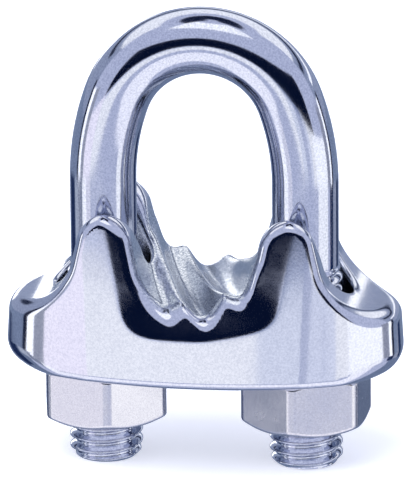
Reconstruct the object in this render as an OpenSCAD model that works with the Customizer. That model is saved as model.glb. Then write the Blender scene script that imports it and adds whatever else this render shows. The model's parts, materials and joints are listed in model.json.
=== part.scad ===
// Wire rope clip: a cast saddle, a U-bolt and two nuts, all in millimetres.
// The rope runs along Y. The origin is on the axis of the rope that lies in the seat,
// midway between the legs. +X goes across the legs and +Z from the saddle to the bow.

/* [Rope] */
// Diameter of the rope that the seat is made for
rope_d = 10; // [9:0.5:12]
// Height of the ribs that grip between the strands of the rope
rib_height = 1.4; // [0.8:0.1:1.8]
// Radius of each rib's round back
rib_r = 1.6; // [1.4:0.1:1.8]
// Angle around the seat from one rib to the next
rib_step = 44; // [36:1:50]
// Angle between the ribs and the rope, the lay of its strands
rib_lay = 16; // [10:1:20]

/* [U-bolt] */
// Diameter of the round rod
rod_d = 7.2; // [6:0.1:8]
// Distance between the axes of the two legs
leg_pitch = 22; // [18:0.5:27]
// Height above the rope's axis at which the legs start to bend
bend_z = 6.15; // [4:0.05:12]
// Radius of the gentle bends at the sides of the bow, on the rod's axis
side_bend_r = 27; // [20:1:40]
// How much tighter than half the leg spacing the bend at the top of the bow is
top_bend_inset = 1; // [0.5:0.1:2]
// How far the legs stand out below the nuts
stud_out = 4.65; // [2:0.05:8]

/* [Thread] */
// Outside diameter of the thread
thread_d = 8; // [7:0.25:9]
// Pitch of the thread
thread_pitch = 1.25; // [1:0.05:1.5]
// Depth below the rope's axis at which the thread starts on each leg
thread_start = 2.75; // [1:0.25:6]
// Chamfer on the end of each leg
stud_chamfer = 0.7; // [0.3:0.1:1]

/* [Nuts] */
// Width of the nuts across their flats
nut_af = 13; // [12:0.5:16]
// Height of the nuts
nut_h = 6.5; // [5:0.1:9]
// Angle of the chamfer on both faces of the nuts
nut_chamfer = 30; // [20:5:35]
// Gap all round between a leg's thread and its nut's bore
nut_gap = 0.05; // [0.03:0.01:0.08]
// Angle that the left nut is turned to at rest
nut_left_turn = -20; // [-30:1:30]
// Angle that the right nut is turned to at rest
nut_right_turn = 24; // [-30:1:30]

/* [Saddle] */
// Width of the saddle along the rope
saddle_w = 22; // [18:0.5:27]
// Radius of the saddle's curved long sides, seen from above
side_r = 45; // [40:1:80]
// Distance from a leg's axis to the saddle's round end
end_r = 10.6; // [9:0.1:13]
// Distance from the rope's axis to the saddle's underside
base_drop = 14.2; // [13:0.1:17]
// Thickness of the saddle's two ends
end_h = 6.9; // [5:0.1:8]
// Height of the four towers above the rope's axis
tower_top = 4.2; // [2:0.1:7]
// Lean of the seat's walls away from upright
wall_lean = 12.5; // [5:0.5:16]
// Lean of the towers' outer slopes away from upright
slope_lean = 13; // [10:1:24]
// Distance from a leg's axis out to its tower's slope, at the rope's axis
slope_reach = 2.2; // [1.5:0.05:3]
// Radius of the hollow where a tower's slope meets the saddle's end
foot_r = 5.5; // [2:0.5:6]
// Gap all round between a leg's thread and its hole
hole_gap = 0.8; // [0.5:0.1:1]
// Lean of the saddle's long sides away from upright
side_draft = 6; // [0:0.5:8]
// Radius of the round top edge of the towers, along the rope
tower_edge_r = 1.7; // [1:0.1:2]
// Radius of the round lower edges of the saddle
under_r = 1.2; // [0.5:0.1:2]
// Radius of the saddle's round ends, seen from the front
end_edge_r = 2.6; // [1:0.1:3.4]
// How far the ribs stop short of the saddle's sides
rib_inset = 1.3; // [0.5:0.1:3]

/* [Hidden] */
$fn = 96;

// a cutter passes this far through what it cuts
past = 1;
steel = "lightsteelblue";
cast_steel = "silver";

// rope seat
seat_r = rope_d / 2 + rib_height;
rib_sides = [-1, 0, 1];
rib_sink = 1.2;

// legs, thread and nuts
leg_x = leg_pitch / 2;
thread_r = thread_d / 2;
thread_depth = 0.6134 * thread_pitch;
crest_flat = thread_pitch / 8;
root_flat = thread_pitch / 4;
flank = (thread_pitch - crest_flat - root_flat) / 2;
stud_end_z = -base_drop - nut_h - stud_out;
thread_turns = floor((stud_end_z * -1 - stud_chamfer - thread_start) / thread_pitch);
hole_r = thread_r + hole_gap;
nut_bore_r = thread_r + nut_gap;
nut_face_r = 0.475 * nut_af;
nut_corner_r = nut_af / sqrt(3);
nut_edge_drop = (nut_corner_r - nut_face_r) * tan(nut_chamfer);
nut_mouth = 0.4;

// bow: one bend at the top and a gentler one at each side of it
top_bend_r = leg_x - top_bend_inset;
side_bend_turn = acos((side_bend_r - leg_x) / (side_bend_r - top_bend_r));
top_bend_z = bend_z + (side_bend_r - top_bend_r) * sin(side_bend_turn);
lap_turn = 0.6;
lap_swell = 0.02;

// saddle
half_w = saddle_w / 2;
end_x = leg_x + end_r;
end_top_z = end_h - base_drop;
tower_h = tower_top + base_drop;
wall_x = seat_r / cos(wall_lean);
slope_x = leg_x + slope_reach;
// the tower's round crest touches the seat wall, the outer slope and the tower's top
crest_width = slope_x - wall_x - tower_top * (tan(wall_lean) + tan(slope_lean));
crest_turn = 1 / cos(wall_lean) - tan(wall_lean) + 1 / cos(slope_lean) - tan(slope_lean);
crest_r = crest_width / crest_turn;
crest_z = tower_top - crest_r;
crest_x = wall_x + crest_z * tan(wall_lean) + crest_r / cos(wall_lean);
foot_z = end_top_z + foot_r;
foot_x = slope_x - foot_z * tan(slope_lean) + foot_r / cos(slope_lean);
tower_y = half_w - tower_h * tan(side_draft) - tower_edge_r;

// points along an arc, from one angle to another
function arc(centre, r, from, to, steps = 12) =
    [for (i = [0:steps])
        let (a = from + (to - from) * i / steps)
        [centre[0] + r * cos(a), centre[1] + r * sin(a)]];

// an outline given by its right half, from the lower middle round to the upper middle
module mirrored_outline(half) {
    last = len(half) - 1;
    polygon(concat(half, [for (i = [last:-1:0]) [-half[i][0], half[i][1]]]));
}

// the saddle seen along the rope: round ends, hollow feet, round crests and a U-shaped seat
module front_outline() {
    edge_x = end_x - end_edge_r;
    seat_middle = -88;
    mirrored_outline(concat(
        arc([edge_x, end_edge_r - base_drop], end_edge_r, -90, 0),
        arc([edge_x, end_top_z - end_edge_r], end_edge_r, 0, 90),
        arc([foot_x, foot_z], foot_r, 270, 180 + slope_lean),
        arc([crest_x, crest_z], crest_r, slope_lean, 180 - wall_lean, steps = 20),
        arc([0, 0], seat_r, -wall_lean, seat_middle, steps = 18)
    ));
}

// the saddle seen across the rope: sides with draft, and round upper and lower edges
module side_outline() {
    mirrored_outline(concat(
        arc([half_w - under_r, under_r - base_drop], under_r, -90, side_draft, steps = 8),
        arc([tower_y, tower_top - tower_edge_r], tower_edge_r, side_draft, 180, steps = 16)
    ));
}

// the saddle seen from above: two long curved sides and a round end about each leg
module plan_shape() {
    cut_h = tower_h + 2 * past;
    translate([0, 0, -base_drop - past])
        intersection() {
            translate([0, half_w - side_r, 0])
                cylinder(r = side_r, h = cut_h, $fn = 240);
            translate([0, side_r - half_w, 0])
                cylinder(r = side_r, h = cut_h, $fn = 240);
            union() {
                translate([-leg_x, -half_w, 0])
                    cube([leg_pitch, saddle_w, cut_h]);
                for (x = [-leg_x, leg_x])
                    translate([x, 0, 0])
                        cylinder(r = end_r, h = cut_h);
            }
        }
}

// ribs along the strands of the rope, with their crests cut to the rope's size
module ribs() {
    reach = 2 * saddle_w;
    difference() {
        intersection() {
            rotate([90, 0, 0])
                cylinder(r = seat_r + past, h = saddle_w - 2 * rib_inset, center = true);
            for (i = rib_sides)
                rotate([0, -i * rib_step, 0])
                    translate([0, 0, rib_r - rope_d / 2 - rib_height - rib_sink])
                        rotate([90, 0, rib_lay])
                            cylinder(r = rib_r, h = reach, center = true);
        }
        rotate([90, 0, 0])
            cylinder(d = rope_d, h = reach, center = true);
    }
}

module saddle() {
    color(cast_steel)
        difference() {
            union() {
                intersection() {
                    rotate([90, 0, 0])
                        linear_extrude(height = saddle_w + 2 * past, center = true)
                            front_outline();
                    rotate([90, 0, 90])
                        linear_extrude(height = 2 * (end_x + past), center = true)
                            side_outline();
                    plan_shape();
                }
                ribs();
            }
            for (x = [-leg_x, leg_x])
                translate([x, 0, -base_drop - past])
                    cylinder(r = hole_r, h = tower_h + 2 * past);
        }
}

// one straight leg: its shank, then rings at the pitch of the thread, then the chamfered end
module leg() {
    root_r = thread_r - thread_depth;
    translate([leg_x, 0, 0])
        rotate_extrude()
            polygon(concat(
                [[0, bend_z]],
                [[rod_d / 2, bend_z]],
                [[rod_d / 2, -thread_start]],
                [for (i = [0:thread_turns - 1], step = [0:3])
                    let (
                        z = -thread_start - i * thread_pitch - root_flat / 2,
                        drop = [0, flank, flank + crest_flat, 2 * flank + crest_flat],
                        r = [root_r, thread_r, thread_r, root_r]
                    )
                    [r[step], z - drop[step]]],
                [[root_r, stud_end_z + stud_chamfer]],
                [[thread_r - stud_chamfer, stud_end_z]],
                [[0, stud_end_z]]
            ));
}

// part of the bow: a bend of radius r on the rod's axis, through the angle turn
module bend(r, turn, d = rod_d) {
    rotate([90, 0, 0])
        rotate_extrude(angle = turn)
            translate([r, 0])
                circle(d = d);
}

// the top bend is a hair thicker and laps over the side bends, so the rod is one solid
module u_bolt() {
    color(steel) {
        for (side = [0, 1])
            mirror([side, 0, 0]) {
                leg();
                translate([leg_x - side_bend_r, 0, bend_z])
                    bend(side_bend_r, side_bend_turn);
            }
        translate([0, 0, top_bend_z])
            rotate([0, lap_turn - side_bend_turn, 0])
                bend(top_bend_r, 180 + 2 * (lap_turn - side_bend_turn), rod_d + lap_swell);
    }
}

// hexagon nut, chamfered on both faces, with its top face against the saddle
module nut(x, turn) {
    color(cast_steel)
        translate([x, 0, -base_drop - nut_h])
            rotate([0, 0, turn])
                difference() {
                    intersection() {
                        cylinder(r = nut_corner_r, h = nut_h, $fn = 6);
                        rotate_extrude()
                            polygon([
                                [0, 0],
                                [nut_face_r, 0],
                                [nut_corner_r, nut_edge_drop],
                                [nut_corner_r, nut_h - nut_edge_drop],
                                [nut_face_r, nut_h],
                                [0, nut_h]
                            ]);
                    }
                    translate([0, 0, -past])
                        cylinder(r = nut_bore_r, h = nut_h + 2 * past);
                    for (face = [0, 1])
                        translate([0, 0, face * nut_h])
                            mirror([0, 0, face])
                                cylinder(r1 = nut_bore_r + nut_mouth, r2 = nut_bore_r, h = nut_mouth);
                }
}

module nut_left() {
    nut(-leg_x, nut_left_turn);
}

module nut_right() {
    nut(leg_x, nut_right_turn);
}

saddle();
u_bolt();
nut_left();
nut_right();
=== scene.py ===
"""Wire rope clip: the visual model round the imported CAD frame, and the studio that it is seen in.
Shapes are worked out in millimetres in the row frame (rope axis along Y, bow up) and written in metres."""
import json
import math

import bpy
import numpy as np
from mathutils import Matrix, Vector


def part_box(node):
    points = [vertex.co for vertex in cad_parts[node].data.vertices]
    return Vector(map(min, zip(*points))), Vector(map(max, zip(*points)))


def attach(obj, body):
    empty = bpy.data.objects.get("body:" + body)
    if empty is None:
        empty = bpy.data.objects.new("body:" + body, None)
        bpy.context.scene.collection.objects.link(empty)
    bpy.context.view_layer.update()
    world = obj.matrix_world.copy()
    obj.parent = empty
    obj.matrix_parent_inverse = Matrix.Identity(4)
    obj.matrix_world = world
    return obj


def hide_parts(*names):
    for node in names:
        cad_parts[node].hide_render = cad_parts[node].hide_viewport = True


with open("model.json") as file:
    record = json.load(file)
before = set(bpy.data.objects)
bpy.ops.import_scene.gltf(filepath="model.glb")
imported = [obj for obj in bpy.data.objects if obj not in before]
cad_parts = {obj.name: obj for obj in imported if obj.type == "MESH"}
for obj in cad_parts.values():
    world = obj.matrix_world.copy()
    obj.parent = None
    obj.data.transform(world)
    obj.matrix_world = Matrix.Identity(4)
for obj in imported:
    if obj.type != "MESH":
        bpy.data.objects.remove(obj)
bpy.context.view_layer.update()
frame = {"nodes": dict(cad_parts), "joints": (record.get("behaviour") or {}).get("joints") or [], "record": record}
MM = 0.001
TAU = 2 * math.pi

# ---------------------------------------------------------------- sizes from the frame, in mm


def box_mm(node):
    low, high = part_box(node)
    return np.array(low) / MM, np.array(high) / MM


joints = {j["name"]: j for j in frame["joints"]}
mounts = {m["name"]: m for m in frame["record"]["mounts"]}
saddle_low, saddle_high = box_mm("saddle")
bolt_low, bolt_high = box_mm("u_bolt")
nut_low, nut_high = box_mm("nut_left")
leg_x = abs(joints["nut_left_turn"]["pos_m"][0]) / MM
couplings = {c["joint"]: c["ratio"] for c in frame["record"]["behaviour"]["couplings"]}
pitch = couplings["u_bolt_draw"] * TAU / MM
half_w = saddle_high[1]
end_x = saddle_high[0]
tower_top = saddle_high[2]
base_z = saddle_low[2]
stud_end = bolt_low[2]

# ---------------------------------------------------------------- camera

VIEW_AZIMUTH, VIEW_ELEVATION, VIEW_ROLL = 8.0, 18.0, -0.5
VIEW_HEIGHT = 51.9
VIEW_TARGET = (0.05, 0, -0.6)
LENS, SENSOR = 500, 36


def direction(azimuth, elevation):
    """Unit vector towards a place round the object: azimuth 0 is in front, 90 on the +X side."""
    a, e = math.radians(azimuth), math.radians(elevation)
    return Vector((math.sin(a) * math.cos(e), -math.cos(a) * math.cos(e), math.sin(e)))


def add_camera():
    data = bpy.data.cameras.new("camera")
    data.lens, data.sensor_width = LENS, SENSOR
    data.clip_start, data.clip_end = 0.01, 20
    camera = bpy.data.objects.new("camera", data)
    bpy.context.scene.collection.objects.link(camera)
    back = direction(VIEW_AZIMUTH, VIEW_ELEVATION)
    turn = (-back).to_track_quat("-Z", "Y").to_matrix() @ Matrix.Rotation(math.radians(VIEW_ROLL), 3, "Z")
    target = Vector(VIEW_TARGET) * MM
    distance = VIEW_HEIGHT * MM * LENS / SENSOR
    camera.matrix_world = Matrix.Translation(target + back * distance) @ turn.to_4x4()
    bpy.context.scene.camera = camera


add_camera()

# ---------------------------------------------------------------- node and colour helpers


def colour(code):
    """A colour given as sRGB hex, as linear RGBA."""
    values = [int(code[i:i + 2], 16) / 255 for i in (0, 2, 4)]
    return [v / 12.92 if v <= 0.04045 else ((v + 0.055) / 1.055) ** 2.4 for v in values] + [1]


def add(tree, kind, inputs=None, **settings):
    """Adds a node with its settings, and its inputs as values or as sockets to link."""
    node = tree.nodes.new(kind)
    for name, value in settings.items():
        setattr(node, name, value)
    for key, value in (inputs or {}).items():
        if isinstance(value, bpy.types.NodeSocket):
            tree.links.new(value, node.inputs[key])
        else:
            node.inputs[key].default_value = value
    return node


def new_material(name):
    material = bpy.data.materials.new(name)
    material.use_nodes = True
    material.node_tree.nodes.clear()
    return material, material.node_tree


# ---------------------------------------------------------------- materials

CAST_ROUGHNESS, CAST_GRAIN = 0.22, 4.0
CAST_PIT, CAST_BASE = "98A1B2", "E2E6EE"
DRIFT_MM = 4


def steel(name, base, speck, roughness, spread, grain_mm, grain, dull=None):
    """A bare stainless surface: its roughness drifts by spread, a fine bump breaks its reflections up, and
    specks of a second colour stand for the pits that the finish leaves, as coarse as they need to show.
    dull names a point attribute, 1 where the as-cast skin was left, with its own roughness and colour."""
    material, tree = new_material(name)
    place = add(tree, "ShaderNodeTexCoord").outputs["Object"]
    drift = add(tree, "ShaderNodeTexNoise",
                {"Vector": place, "Scale": 1 / (DRIFT_MM * MM), "Detail": 3.0, "Roughness": 0.6}).outputs[0]
    fine = add(tree, "ShaderNodeTexNoise",
               {"Vector": place, "Scale": 1 / (grain_mm * MM), "Detail": 2.0, "Roughness": 0.7}).outputs[0]
    rough = add(tree, "ShaderNodeMapRange",
                {"Value": drift, "From Min": 0.3, "From Max": 0.7,
                 "To Min": roughness - spread, "To Max": roughness + spread}).outputs[0]
    pits = add(tree, "ShaderNodeMapRange", {"Value": fine, "From Min": 0.36, "From Max": 0.64}).outputs[0]
    tint = add(tree, "ShaderNodeMix", {"Factor": pits, 6: colour(speck), 7: colour(base)},
               data_type="RGBA").outputs[2]
    height = fine
    if dull:
        mask = add(tree, "ShaderNodeAttribute", attribute_name=dull).outputs["Fac"]
        rough = add(tree, "ShaderNodeMapRange",
                    {"Value": mask, "To Min": rough, "To Max": CAST_ROUGHNESS}).outputs[0]
        cast = add(tree, "ShaderNodeMix", {"Factor": pits, 6: colour(CAST_PIT), 7: colour(CAST_BASE)},
                   data_type="RGBA").outputs[2]
        tint = add(tree, "ShaderNodeMix", {"Factor": mask, 6: tint, 7: cast}, data_type="RGBA").outputs[2]
        deeper = add(tree, "ShaderNodeMapRange",
                     {"Value": mask, "To Min": 1.0, "To Max": CAST_GRAIN}).outputs[0]
        height = add(tree, "ShaderNodeMath", {0: fine, 1: deeper}, operation="MULTIPLY").outputs[0]
    bump = add(tree, "ShaderNodeBump",
               {"Height": height, "Strength": 1.0, "Distance": grain * MM}).outputs[0]
    shader = add(tree, "ShaderNodeBsdfPrincipled",
                 {"Base Color": tint, "Metallic": 1.0, "Roughness": rough, "Normal": bump}).outputs[0]
    add(tree, "ShaderNodeOutputMaterial", {"Surface": shader})
    return material


# AISI 316 casting, tumbled and then buffed on the outside: mirror-like with a faint orange peel;
# the seat and the holes keep the grey satin of the casting
polished_casting = steel("polished_casting", "D4D7E4", "C2C6D5", 0.10, 0.03, 0.24, 0.0012, dull="as_cast")
# cold-drawn stainless rod, bent and buffed: a little more haze than the casting
polished_rod = steel("polished_rod", "D2D6E4", "BABFD0", 0.10, 0.03, 0.22, 0.0014)
# turned stainless hexagon bar, tumbled: even satin with a visible grain
satin_nut = steel("satin_nut", "DCDCE4", "CCCCD6", 0.24, 0.05, 0.17, 0.0030)

# ---------------------------------------------------------------- solid shapes as distance fields, in mm


def round_and(a, b, r):
    """The solid inside both a and b, with its edge rounded to radius r."""
    return np.minimum(np.maximum(a, b), -r) + np.hypot(np.maximum(a + r, 0), np.maximum(b + r, 0))


def round_or(a, b, r):
    """The solid inside a or b, with a hollow of radius r where they meet."""
    return np.maximum(np.minimum(a, b), r) - np.hypot(np.maximum(r - a, 0), np.maximum(r - b, 0))


def ramp(value, start, end):
    """0 at start, 1 at end and smooth between them."""
    t = np.clip((value - start) / (end - start), 0, 1)
    return t * t * (3 - 2 * t)


def gradient(field, points, step=0.01):
    result = np.empty_like(points)
    for axis in range(3):
        ahead, behind = points.copy(), points.copy()
        ahead[:, axis] += step
        behind[:, axis] -= step
        result[:, axis] = (field(*ahead.T) - field(*behind.T)) / (2 * step)
    return result


def skin(field, low, high, cell):
    """Closed mesh of the solid where field < 0: one vertex in each cell that the surface crosses, drawn
    onto the surface. Gives the vertices, the quads and the surface's own normals."""
    axes = [np.arange(a - 1.5 * cell, b + 2.5 * cell, cell) for a, b in zip(low, high)]
    inside = field(*np.meshgrid(*axes, indexing="ij")) < 0
    count = np.zeros([n - 1 for n in inside.shape], int)
    for i in (0, 1):
        for j in (0, 1):
            for k in (0, 1):
                count += inside[i:i - 1 or None, j:j - 1 or None, k:k - 1 or None]
    crossed = (count > 0) & (count < 8)
    number = np.full(count.shape, -1)
    number[crossed] = np.arange(crossed.sum())
    points = np.stack([a[i] + cell / 2 for a, i in zip(axes, np.nonzero(crossed))], axis=1)
    quads = []
    for axis in range(3):
        side, next_side = (axis + 1) % 3, (axis + 2) % 3
        solid = np.moveaxis(inside, (axis, side, next_side), (0, 1, 2))
        cells = np.moveaxis(number, (axis, side, next_side), (0, 1, 2))
        for start in (True, False):
            edge = (solid[:-1] == start) & (solid[1:] != start)
            i, j, k = np.nonzero(edge)
            ring = [cells[i, j - 1, k - 1], cells[i, j, k - 1], cells[i, j, k], cells[i, j - 1, k]]
            quads.append(np.stack(ring if start else ring[::-1], axis=1))
    quads = np.concatenate(quads)
    for relax in range(4):
        for _ in range(5):
            slope = gradient(field, points)
            push = field(*points.T) / np.maximum((slope ** 2).sum(1), 0.05)
            points -= np.clip(push, -cell, cell)[:, None] * slope
        if relax < 3:
            total, share = np.zeros_like(points), np.zeros(len(points))
            for corner in range(4):
                np.add.at(total, quads[:, corner], points[quads].mean(1))
                np.add.at(share, quads[:, corner], 1)
            points = total / share[:, None]
    normals = gradient(field, points)
    normals /= np.linalg.norm(normals, axis=1)[:, None]
    return points, quads, normals


def field_piece(name, field, low, high, cell, material):
    points, quads, normals = skin(field, low, high, cell)
    mesh = bpy.data.meshes.new(name)
    mesh.from_pydata((points * MM).tolist(), [], quads.tolist())
    mesh.polygons.foreach_set("use_smooth", np.ones(len(quads), bool))
    mesh.normals_split_custom_set_from_vertices(normals.tolist())
    mesh.materials.append(material)
    piece = bpy.data.objects.new(name, mesh)
    bpy.context.scene.collection.objects.link(piece)
    return piece, points


# ---------------------------------------------------------------- saddle

rope_r = mounts["rope_seat"]["dims"]["r_mm"]
RIBS, RIB_HEIGHT, RIB_STEP = 3, 1.4, 4.5
RIB_LAY = 0.385  # how far a rib moves across the seat for each mm along the rope
RIB_BLUNT = 0.3
RIB_FADE = 3.5
WALL_LEAN = math.radians(12.5)
SLOPE_LEAN = math.radians(13)
DRAFT, BARREL = 0.079, 0.0014  # the sides' slope at the base, and how it grows upwards
SIDE_R = 52
END_CENTRE_GAP = 2
END_DRAFT = 0.06
CORNER_R = 4
END_TOP = base_z + 7.3
FOOT_R = 5.5
CREST_R = 2.6
SLOPE_X = leg_x + 2.2
HOLE_R = 5.0
HOLE_RIM_R, HOLE_RIM_GAIN = 0.9, 1.3  # the rim is rounder at the top, where the towers stand round it
EDGE_R, SEAT_EDGE_GAIN, END_EDGE_GAIN = 1.0, 0.4, 0.6
BASE_EDGE_R = 2.4
BEVEL_W, BEVEL_SOFT, BEVEL_SQUARE = 2.4, 0.35, 6
BEVEL_SLOPE, BEVEL_LEAN = math.tan(math.radians(13)), math.radians(9)
# the bevel is ground a little wider and less deep on the right-hand side
BEVEL_DEEP, BEVEL_WIDER, BEVEL_HIGHER = 1.04, 0.11, 0.13
CAST_REACH, CAST_SKIN = 0.6, 0.15
CAST_INSET, CAST_TOP = 1.6, 2.5
SADDLE_CELL = 0.25
seat_r = rope_r + RIB_HEIGHT


def seat_depth(x, z, r):
    """Distance out of the U-shaped rope space of radius r, whose walls lean away from upright."""
    wall = np.abs(x) * math.cos(WALL_LEAN) - z * math.sin(WALL_LEAN) - r
    above = z * math.cos(WALL_LEAN) + np.abs(x) * math.sin(WALL_LEAN) > 0
    return np.where(above, wall, np.hypot(x, z) - r)


def rib_rise(x, y, z):
    """How far the blunt slanting ribs stand into the seat; they fade out up its walls."""
    t = (x + RIB_LAY * y) / RIB_STEP
    full = math.sqrt(1 + RIB_BLUNT ** 2) - RIB_BLUNT
    wave = (np.sqrt(np.sin(math.pi * t) ** 2 + RIB_BLUNT ** 2) - RIB_BLUNT) / full
    return RIB_HEIGHT * (1 - wave) * (np.abs(t) < RIBS / 2) * ramp(-z, 0, RIB_FADE)


def bevel_depth(x, z):
    """The broad bevel round the seat, on both faces: inside a band it falls back towards the seat."""
    wall = np.maximum(np.abs(x) * math.cos(BEVEL_LEAN) - z * math.sin(BEVEL_LEAN), 0)
    wall = wall * (1 - BEVEL_WIDER * ramp(x, 0, 6))
    deep = np.maximum(-z, 0) * (BEVEL_DEEP + BEVEL_HIGHER * ramp(x, 0, 8))
    reach = (wall ** BEVEL_SQUARE + deep ** BEVEL_SQUARE) ** (1 / BEVEL_SQUARE) - seat_r
    inner = BEVEL_W - reach
    return BEVEL_SLOPE * (inner + np.sqrt(inner ** 2 + BEVEL_SOFT ** 2)) / 2


def saddle_field(x, y, z):
    along, across = np.abs(x), np.abs(y)
    side = np.hypot(x, across + SIDE_R - half_w) - SIDE_R
    up = np.maximum(z - base_z, 0)
    side = side + DRAFT * up + BARREL * up ** 2 + bevel_depth(x, z)
    end_centre = leg_x - END_CENTRE_GAP
    end = np.hypot(np.maximum(along - end_centre, 0), y) - (end_x - end_centre)
    end += END_DRAFT * np.maximum(up - BASE_EDGE_R, 0)
    plan = round_and(side, end, CORNER_R * ramp(along, 7, 14) + 0.01)
    slope = (along - SLOPE_X) * math.cos(SLOPE_LEAN) + z * math.sin(SLOPE_LEAN)
    front = round_or(slope, z - END_TOP, FOOT_R)
    front = round_and(front, z - tower_top, CREST_R)
    seat = seat_depth(x, z, seat_r - rib_rise(x, y, z))
    front = round_and(front, -seat, CREST_R * ramp(z, -5, 1) + 0.3)
    edge_r = EDGE_R + SEAT_EDGE_GAIN * ramp(leg_x + 0.5 - along, 0, 3) + END_EDGE_GAIN * ramp(along, 14, 19)
    body = round_and(front, plan, edge_r)
    body = round_and(body, base_z - z, EDGE_R + (BASE_EDGE_R - EDGE_R) * ramp(along, 15, 20))
    hole = np.hypot(along - leg_x, y) - HOLE_R
    return round_and(body, -hole, HOLE_RIM_R + HOLE_RIM_GAIN * ramp(z, -1, 2.5))


saddle, points = field_piece(
    "saddle_casting", saddle_field, saddle_low, saddle_high, SADDLE_CELL, polished_casting)
px, py, pz = points.T
depth = seat_depth(px, pz, seat_r)
in_seat = np.where(depth < CAST_SKIN, 1, 1 - ramp(np.abs(depth), CAST_SKIN, CAST_REACH))
in_seat *= ramp(half_w - CAST_INSET - np.abs(py), 0, 0.8) * ramp(CAST_TOP - pz, 0, 2)
in_hole = 1 - ramp(np.hypot(np.abs(px) - leg_x, py) - HOLE_R, 0.1, 0.5)
as_cast = saddle.data.attributes.new("as_cast", "FLOAT", "POINT")
as_cast.data.foreach_set("value", np.maximum(in_seat, in_hole).astype(np.float32))
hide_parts("saddle")
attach(saddle, "saddle")

# ---------------------------------------------------------------- U-bolt

ROD_R = 3.6
THREAD_R = 4.0
THREAD_DEPTH = 0.6134 * pitch
THREAD_START = -2.75
THREAD_RUN_OUT = 1.0
STUD_CHAMFER = 0.7
PATH_STEP = 0.1  # close enough along the threads for their flanks
SIDE_BEND_R = 27.0
TOP_BEND_R = leg_x - 1
side_turn = math.acos((SIDE_BEND_R - leg_x) / (SIDE_BEND_R - TOP_BEND_R))
top_z = bolt_high[2] - ROD_R - TOP_BEND_R
bend_z = top_z - (SIDE_BEND_R - TOP_BEND_R) * math.sin(side_turn)


def bolt_path():
    """The rod's axis from the end of one leg, over the bow, to the end of the other."""
    half = [(leg_x, z) for z in np.arange(stud_end, THREAD_START + 0.5, PATH_STEP)]
    half += [(leg_x, z) for z in np.linspace(THREAD_START + 0.6, bend_z, 10)]
    for a in np.linspace(0, side_turn, 24)[1:]:
        half.append((leg_x - SIDE_BEND_R + SIDE_BEND_R * math.cos(a), bend_z + SIDE_BEND_R * math.sin(a)))
    for a in np.linspace(side_turn, math.pi / 2, 28)[1:]:
        half.append((TOP_BEND_R * math.cos(a), top_z + TOP_BEND_R * math.sin(a)))
    return half + [(-x, z) for x, z in half[-2::-1]]


THREAD_INPUTS = {
    "rod radius": ROD_R * MM, "leg spacing": leg_x * MM, "pitch": pitch * MM, "crest radius": THREAD_R * MM,
    "root radius": (THREAD_R - THREAD_DEPTH) * MM, "thread start": THREAD_START * MM,
    "run out": THREAD_RUN_OUT * MM, "stud end": stud_end * MM, "chamfer": STUD_CHAMFER * MM,
}
# each row is a value, its operation and what it works on; the helix is right-handed on both legs
THREAD_MATH = [
    ("leg side", "SIGN", "x"),
    ("reach", "ABSOLUTE", "x"),
    ("out x", "SUBTRACT", "reach", "leg spacing"),
    ("out y", "MULTIPLY", "y", "leg side"),
    ("angle", "ARCTAN2", "out y", "out x"),
    ("turn", "DIVIDE", "angle", TAU),
    ("climb", "DIVIDE", "z", "pitch"),
    ("phase", "SUBTRACT", "climb", "turn"),
    ("wave", "PINGPONG", "phase", 0.5),
    ("flank", "SUBTRACT", "wave", 0.125),
    ("flank share", "DIVIDE", "flank", 0.3125),
    ("share low", "MAXIMUM", "flank share", 0.0),
    ("share", "MINIMUM", "share low", 1.0),
    ("depth", "SUBTRACT", "crest radius", "root radius"),
    ("thread", "MULTIPLY_ADD", "share", "depth", "root radius"),
    ("below start", "SUBTRACT", "thread start", "z"),
    ("started", "DIVIDE", "below start", "run out"),
    ("started low", "MAXIMUM", "started", 0.0),
    ("rolled", "MINIMUM", "started low", 1.0),
    ("lift", "SUBTRACT", "thread", "rod radius"),
    ("rolled radius", "MULTIPLY_ADD", "lift", "rolled", "rod radius"),
    ("above end", "SUBTRACT", "z", "stud end"),
    ("end radius", "SUBTRACT", "crest radius", "chamfer"),
    ("taper", "ADD", "above end", "end radius"),
    ("radius", "MINIMUM", "rolled radius", "taper"),
    ("cosine", "COSINE", "angle"),
    ("sine", "SINE", "angle"),
    ("x out", "MULTIPLY_ADD", "cosine", "radius", "leg spacing"),
    ("y out", "MULTIPLY", "sine", "radius"),
    ("x place", "MULTIPLY", "x out", "leg side"),
    ("y place", "MULTIPLY", "y out", "leg side"),
]


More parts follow.
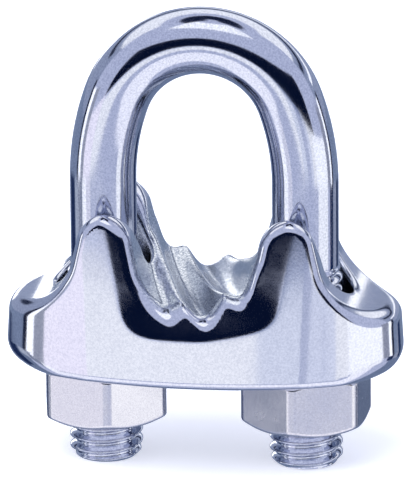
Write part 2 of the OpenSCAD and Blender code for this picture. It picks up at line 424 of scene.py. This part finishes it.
def bolt_tree():
    """Sweeps a round section along the rod's axis and rolls the thread into both legs."""
    tree = bpy.data.node_groups.new("threaded rod", "GeometryNodeTree")
    tree.interface.new_socket("Geometry", in_out="INPUT", socket_type="NodeSocketGeometry")
    for name in THREAD_INPUTS:
        tree.interface.new_socket(name, in_out="INPUT", socket_type="NodeSocketFloat")
    tree.interface.new_socket("Geometry", in_out="OUTPUT", socket_type="NodeSocketGeometry")
    given = add(tree, "NodeGroupInput").outputs
    section = add(tree, "GeometryNodeCurvePrimitiveCircle",
                  {"Resolution": 72, "Radius": given["rod radius"]})
    rod = add(tree, "GeometryNodeCurveToMesh",
              {"Curve": given["Geometry"], "Profile Curve": section.outputs[0], "Fill Caps": True})
    position = add(tree, "GeometryNodeInputPosition").outputs[0]
    place = add(tree, "ShaderNodeSeparateXYZ", {0: position}).outputs
    known = {name: given[name] for name in THREAD_INPUTS}
    known.update({"x": place[0], "y": place[1], "z": place[2]})
    for name, operation, *terms in THREAD_MATH:
        inputs = {i: known.get(term, term) for i, term in enumerate(terms)}
        known[name] = add(tree, "ShaderNodeMath", inputs, operation=operation).outputs[0]
    threaded = add(tree, "FunctionNodeCompare", {0: known["below start"], 1: 0.0}, operation="GREATER_THAN")
    rolled = add(tree, "ShaderNodeCombineXYZ", {0: known["x place"], 1: known["y place"], 2: known["z"]})
    moved = add(tree, "GeometryNodeSetPosition", {
        "Geometry": rod.outputs[0], "Selection": threaded.outputs[0], "Position": rolled.outputs[0]})
    smooth = add(tree, "GeometryNodeSetShadeSmooth", {0: moved.outputs[0]})
    real = add(tree, "GeometryNodeRealizeInstances", {0: smooth.outputs[0]})
    painted = add(tree, "GeometryNodeSetMaterial", {"Geometry": real.outputs[0], "Material": polished_rod})
    add(tree, "NodeGroupOutput", {0: painted.outputs[0]})
    return tree


def bake(piece, tree, values):
    """Runs a node tree on a piece with its named inputs, and gives the result as a plain mesh object."""
    modifier = piece.modifiers.new(tree.name, "NODES")
    modifier.node_group = tree
    for item in tree.interface.items_tree:
        if item.item_type == "SOCKET" and item.in_out == "INPUT" and item.name in values:
            modifier[item.identifier] = values[item.name]
    bpy.context.view_layer.update()
    depsgraph = bpy.context.evaluated_depsgraph_get()
    mesh = bpy.data.meshes.new_from_object(piece.evaluated_get(depsgraph), depsgraph=depsgraph)
    name = piece.name
    bpy.data.objects.remove(piece)
    baked = bpy.data.objects.new(name, mesh)
    bpy.context.scene.collection.objects.link(baked)
    return baked


path = bpy.data.curves.new("threaded_rod", "CURVE")
path.dimensions = "3D"
line = path.splines.new("POLY")
axis_points = bolt_path()
line.points.add(len(axis_points) - 1)
for point, (x, z) in zip(line.points, axis_points):
    point.co = (x * MM, 0, z * MM, 1)
rod = bpy.data.objects.new("threaded_rod", path)
bpy.context.scene.collection.objects.link(rod)
rod = bake(rod, bolt_tree(), THREAD_INPUTS)
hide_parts("u_bolt")
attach(rod, "u_bolt")

# ---------------------------------------------------------------- nuts

NUT_AF = 13.0
NUT_EDGE_R = 0.55
NUT_CHAMFER = math.radians(30)
NUT_FACE_R = 0.475 * NUT_AF
BORE_GAP = 0.06
BORE_MIN_R = 3.45
BORE_FLARE = 0.35
CHAMFER_EDGE_R, FACE_EDGE_R = 0.25, 0.12
NUT_CELL = 0.15


def thread_radius(angle, z):
    """Radius of the legs' thread at an angle about the leg and a height, as the rod's tree makes it."""
    phase = z / pitch - angle / TAU
    wave = np.abs(phase - np.floor(phase + 0.5))
    share = np.clip((wave - 0.125) / 0.3125, 0, 1)
    return THREAD_R - THREAD_DEPTH * (1 - share)


def nut_turn(node, centre):
    """The angle that the CAD nut's corners stand at."""
    corners = np.array([v.co for v in frame["nodes"][node].data.vertices]) / MM - [centre, 0, 0]
    spread = np.hypot(corners[:, 0], corners[:, 1])
    furthest = corners[spread > spread.max() - 0.01]
    turns = np.arctan2(furthest[:, 1], furthest[:, 0]) * 6
    return math.atan2(np.sin(turns).mean(), np.cos(turns).mean()) / 6


def nut_field(centre, turn):
    side = math.copysign(1, centre)
    middle, half_h = (nut_low[2] + nut_high[2]) / 2, (nut_high[2] - nut_low[2]) / 2

    def field(x, y, z):
        across, up = x - centre, np.abs(z - middle)
        flats = [np.abs(across * math.cos(turn + math.radians(30 + 60 * k))
                        + y * math.sin(turn + math.radians(30 + 60 * k))) - NUT_AF / 2 for k in range(3)]
        near = np.sqrt(sum(np.maximum(f + NUT_EDGE_R, 0) ** 2 for f in flats))
        hexagon = np.minimum(np.maximum(np.maximum(flats[0], flats[1]), flats[2]), -NUT_EDGE_R) + near
        spread = np.hypot(across, y)
        chamfer = (spread - NUT_FACE_R) * math.sin(NUT_CHAMFER) + (up - half_h) * math.cos(NUT_CHAMFER)
        body = round_and(round_and(hexagon, chamfer, CHAMFER_EDGE_R), up - half_h, FACE_EDGE_R)
        angle = np.arctan2(y * side, across * side)
        bore = np.maximum(thread_radius(angle, z) + BORE_GAP, BORE_MIN_R)
        bore = np.maximum(bore, THREAD_R + BORE_FLARE - (half_h - up))
        return np.maximum(body, (bore - spread) * 0.8)
    return field


for node, centre in (("nut_left", -leg_x), ("nut_right", leg_x)):
    low, high = box_mm(node)
    field = nut_field(centre, nut_turn(node, centre))
    nut, _ = field_piece(node + "_hexagon", field, low, high, NUT_CELL, satin_nut)
    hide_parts(node)
    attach(nut, node)

# ---------------------------------------------------------------- studio: floor, light and cards

bpy.context.scene.view_settings.view_transform = "Standard"
world = bpy.data.worlds.new("studio")
bpy.context.scene.world = world
world.use_nodes = True
world.node_tree.nodes.clear()
sky = add(world.node_tree, "ShaderNodeBackground", {"Color": colour("D4DAF2"), "Strength": 1.0})
add(world.node_tree, "ShaderNodeOutputWorld", {"Surface": sky.outputs[0]})


def matt(name, code, glow):
    material, tree = new_material(name)
    shader = add(tree, "ShaderNodeBsdfPrincipled", {
        "Base Color": colour(code), "Roughness": 0.9, "Specular IOR Level": 0.0,
        "Emission Color": colour(code), "Emission Strength": glow}).outputs[0]
    add(tree, "ShaderNodeOutputMaterial", {"Surface": shader})
    return material


def stage_piece(name, corners, faces, material):
    mesh = bpy.data.meshes.new(name)
    mesh.from_pydata(corners, [], faces)
    mesh.materials.append(material)
    piece = bpy.data.objects.new(name, mesh)
    bpy.context.scene.collection.objects.link(piece)
    return piece


def glow_card(name, corners, faces, code, glow):
    """A card that only shows in the metal: it casts no light or shadow, and the camera looks past it."""
    material, tree = new_material(name)
    add(tree, "ShaderNodeOutputMaterial", {
        "Surface": add(tree, "ShaderNodeEmission", {"Color": colour(code), "Strength": glow}).outputs[0]})
    piece = stage_piece(name, corners, faces, material)
    piece.visible_camera = piece.visible_diffuse = piece.visible_shadow = False
    piece.visible_transmission = piece.visible_volume_scatter = False


FLOOR_R, RING = 2.5, 64


def ring_points(radius, z):
    return [(radius * math.cos(i * TAU / RING), radius * math.sin(i * TAU / RING), z) for i in range(RING)]


floor_z = (stud_end - 0.02) * MM
floor = stage_piece("floor", ring_points(FLOOR_R, floor_z), [list(range(RING))],
                    matt("pale_floor", "F6F7FA", 0.45))
floor.visible_glossy = False
CARD_R, CARD_GAP = 1.5, 0.01


def card(name, radius, azimuths, elevations, code, glow):
    """A curved card far round the object, between two azimuths from the view and two elevations."""
    columns, rows = 32, 12
    corners = [direction(VIEW_AZIMUTH + azimuths[0] + (azimuths[1] - azimuths[0]) * i / columns,
                         elevations[0] + (elevations[1] - elevations[0]) * j / rows) * radius
               for j in range(rows + 1) for i in range(columns + 1)]
    faces = [(j * (columns + 1) + i, j * (columns + 1) + i + 1, (j + 1) * (columns + 1) + i + 1,
              (j + 1) * (columns + 1) + i) for j in range(rows) for i in range(columns)]
    glow_card(name, corners, faces, code, glow)


# white sheets and tinted flags, as azimuths from the view, elevations, colour and brightness; each hangs
# just inside the one before it
CARDS = {
    "wall_back": ((95, 265), (-3, 32), "A4AEC6", 1.05),
    "sheet_back_high": ((95, 265), (32, 58), "FFFFFF", 1.3),
    "flag_back_high": ((60, 300), (70, 86), "18223E", 1.0),
    "flag_back": ((100, 250), (21, 26), "18223E", 1.0),
    "line_back": ((110, 185), (11, 15), "FFFFFF", 1.6),
    "sheet_back_left": ((188, 206), (-12, 8), "FFFFFF", 2.2),
    "softbox_top": ((-60, 45), (56, 78), "FFFFFF", 1.5),
    "flag_front": ((-48, 52), (-3.3, 23), "0A1530", 1.0),
    "sheet_low_front": ((-75, 75), (-60, -26), "FBFAFF", 1.4),
    "ground_back": ((100, 260), (-89, -4), "8C9CBA", 0.8),
    "face_low": ((-47, 0), (-16, -5.5), "FFFFFF", 1.3),
    "face_low_middle": ((0, 12), (-16, -5.5), "F0F4FF", 1.15),
    "face_low_dim": ((12, 24), (-16, -5.5), "D8DEF4", 1.0),
    "face_high": ((-50, -2), (-5.5, -3.3), "E4EAFF", 1.05),
    "face_high_right": ((-2, 24), (-5.5, -3.3), "B0BCDA", 0.95),
    "blush_left": ((-74, -47), (-16, -3.3), "FAF4FC", 1.4),
    "grey_left": ((-86, -74), (-16, 6), "B4B8C6", 1.0),
    "line_left": ((-96, -86), (-16, 6), "FFFFFF", 1.8),
    "flag_left": ((-103, -96), (-16, 10), "0E1A38", 1.0),
    "edge_left": ((-160, -103), (-16, -3), "93A2BE", 0.9),
    "sheet_right_dim": ((24, 32), (-16, -3.3), "EEF2FF", 1.15),
    "sheet_right_soft": ((32, 42), (-16, -3.3), "FFFFFF", 1.25),
    "sheet_right": ((42, 84), (-16, -3.3), "FFFFFF", 1.5),
    "grey_right": ((84, 98), (-16, 5), "A8ACBC", 1.0),
    "line_right": ((98, 105), (-16, 6), "FFFFFF", 1.8),
    "flag_right": ((105, 112), (-16, 8), "0E1A38", 1.0),
    "edge_right": ((112, 165), (-16, -3), "93A2BE", 0.9),
    "leg_left_soft": ((-62, -46), (-26, -16), "F4F4FF", 1.1),
    "leg_left": ((-78, -62), (-26, -16), "FFFFFF", 1.5),
    "leg_left_grey": ((-97, -78), (-26, -16), "A0A8BC", 0.9),
    "leg_left_light": ((-114, -97), (-26, -16), "D0D8E8", 0.9),
    "leg_left_flag": ((-148, -118), (-40, -16), "24345A", 1.0),
    "leg_right": ((46, 84), (-26, -16), "FFFFFF", 1.35),
    "leg_right_flag": ((94, 111), (-26, -16), "24345A", 1.0),
    "leg_right_grey": ((111, 132), (-26, -16), "B0B8CC", 0.9),
    "leg_right_edge": ((132, 150), (-26, -16), "24345A", 1.0),
}
for place, (name, (azimuths, elevations, code, glow)) in enumerate(CARDS.items()):
    card(name, CARD_R - CARD_GAP * place, azimuths, elevations, code, glow)


def softbox(name, place, aim, size, power):
    light = bpy.data.lights.new(name, "AREA")
    light.size, light.energy = size, power
    lamp = bpy.data.objects.new(name, light)
    bpy.context.scene.collection.objects.link(lamp)
    turn = (aim - place).to_track_quat("-Z", "Y").to_matrix()
    lamp.matrix_world = Matrix.Translation(place) @ turn.to_4x4()
    lamp.visible_glossy = False
    lamp.visible_camera = False


softbox("key", direction(-25, 62) * 0.9, Vector((0, 0, 0)), 0.7, 6)
